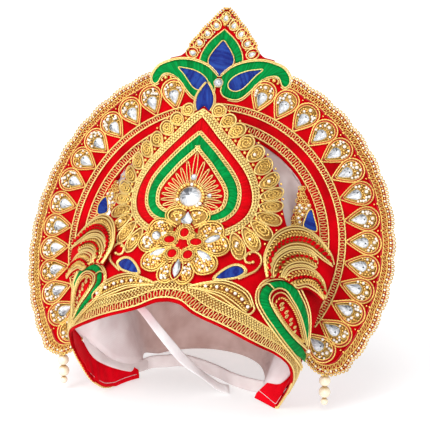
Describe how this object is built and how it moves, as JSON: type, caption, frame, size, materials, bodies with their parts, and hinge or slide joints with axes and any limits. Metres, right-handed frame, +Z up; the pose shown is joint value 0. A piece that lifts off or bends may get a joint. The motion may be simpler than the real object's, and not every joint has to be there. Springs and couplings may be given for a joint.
{
  "type": "mukut crown",
  "caption": "Padded red cloth mukut crown with a tall crest, a leaning sun disc, gold cord work, pearl drops and a white cap inside.",
  "frame": {"origin": "centre of the crown's bounding box, the loose ribbon left out, on the surface that it stands on", "axes": "+X to the crown's right as seen from the front, -Y out of the crest's front, +Z up"},
  "size_m": [0.2844, 0.1919, 0.2809],
  "materials": {
    "red_cloth": "smooth satin",
    "gold_cord": "coiled metallic thread",
    "green_satin": "satin",
    "blue_satin": "satin",
    "white_cloth": "plain woven",
    "crystal": "faceted, foil backed",
    "pearl": "pearlised"
  },
  "bodies": {
    "root": {"band_plate": "red_cloth", "halo_plate": "red_cloth", "cap_lining": "white_cloth", "back_strap": "white_cloth", "tie_ribbon": "white_cloth", "halo_outer_lace": "gold_cord", "halo_inner_lace": "gold_cord", "halo_edge_trim_right": "gold_cord", "halo_edge_trim_left": "gold_cord", "band_lower_lace": "gold_cord", "halo_teardrop_01": "gold_cord", "halo_teardrop_02": "gold_cord", "halo_teardrop_03": "gold_cord", "halo_teardrop_04": "gold_cord", "halo_teardrop_05": "gold_cord", "halo_teardrop_06": "gold_cord", "halo_teardrop_07": "gold_cord", "halo_teardrop_08": "gold_cord", "halo_teardrop_09": "gold_cord", "halo_teardrop_10": "gold_cord", "halo_teardrop_11": "gold_cord", "halo_teardrop_12": "gold_cord", "halo_teardrop_13": "gold_cord", "halo_teardrop_14": "gold_cord", "halo_teardrop_15": "gold_cord", "halo_teardrop_16": "gold_cord", "halo_teardrop_17": "gold_cord", "halo_teardrop_18": "gold_cord", "halo_teardrop_19": "gold_cord", "halo_teardrop_20": "gold_cord", "halo_teardrop_21": "gold_cord", "halo_teardrop_22": "gold_cord", "halo_teardrop_23": "gold_cord", "halo_teardrop_24": "gold_cord", "halo_teardrop_25": "gold_cord", "halo_teardrop_26": "gold_cord", "halo_teardrop_27": "gold_cord", "halo_teardrop_28": "gold_cord", "finial_petals": "green_satin", "finial_paisley_right": "green_satin", "finial_paisley_left": "green_satin", "crest_outer_braid": "gold_cord", "crest_red_arch": "red_cloth", "crest_green_arch": "green_satin", "crest_ray_field": "gold_cord", "crest_centre_stone": "crystal", "crest_border_right": "gold_cord", "crest_border_left": "gold_cord", "crest_top_leaf": "blue_satin", "rosette": "gold_cord", "band_leaf_right": "blue_satin", "long_paisley_right": "gold_cord", "side_paisley_right": "green_satin", "wing_right": "gold_cord", "band_leaf_left": "blue_satin", "long_paisley_left": "gold_cord", "side_paisley_left": "green_satin", "wing_left": "gold_cord", "pearl_drop_right": "pearl", "pearl_drop_left": "pearl"}
  },
  "joints": []
}
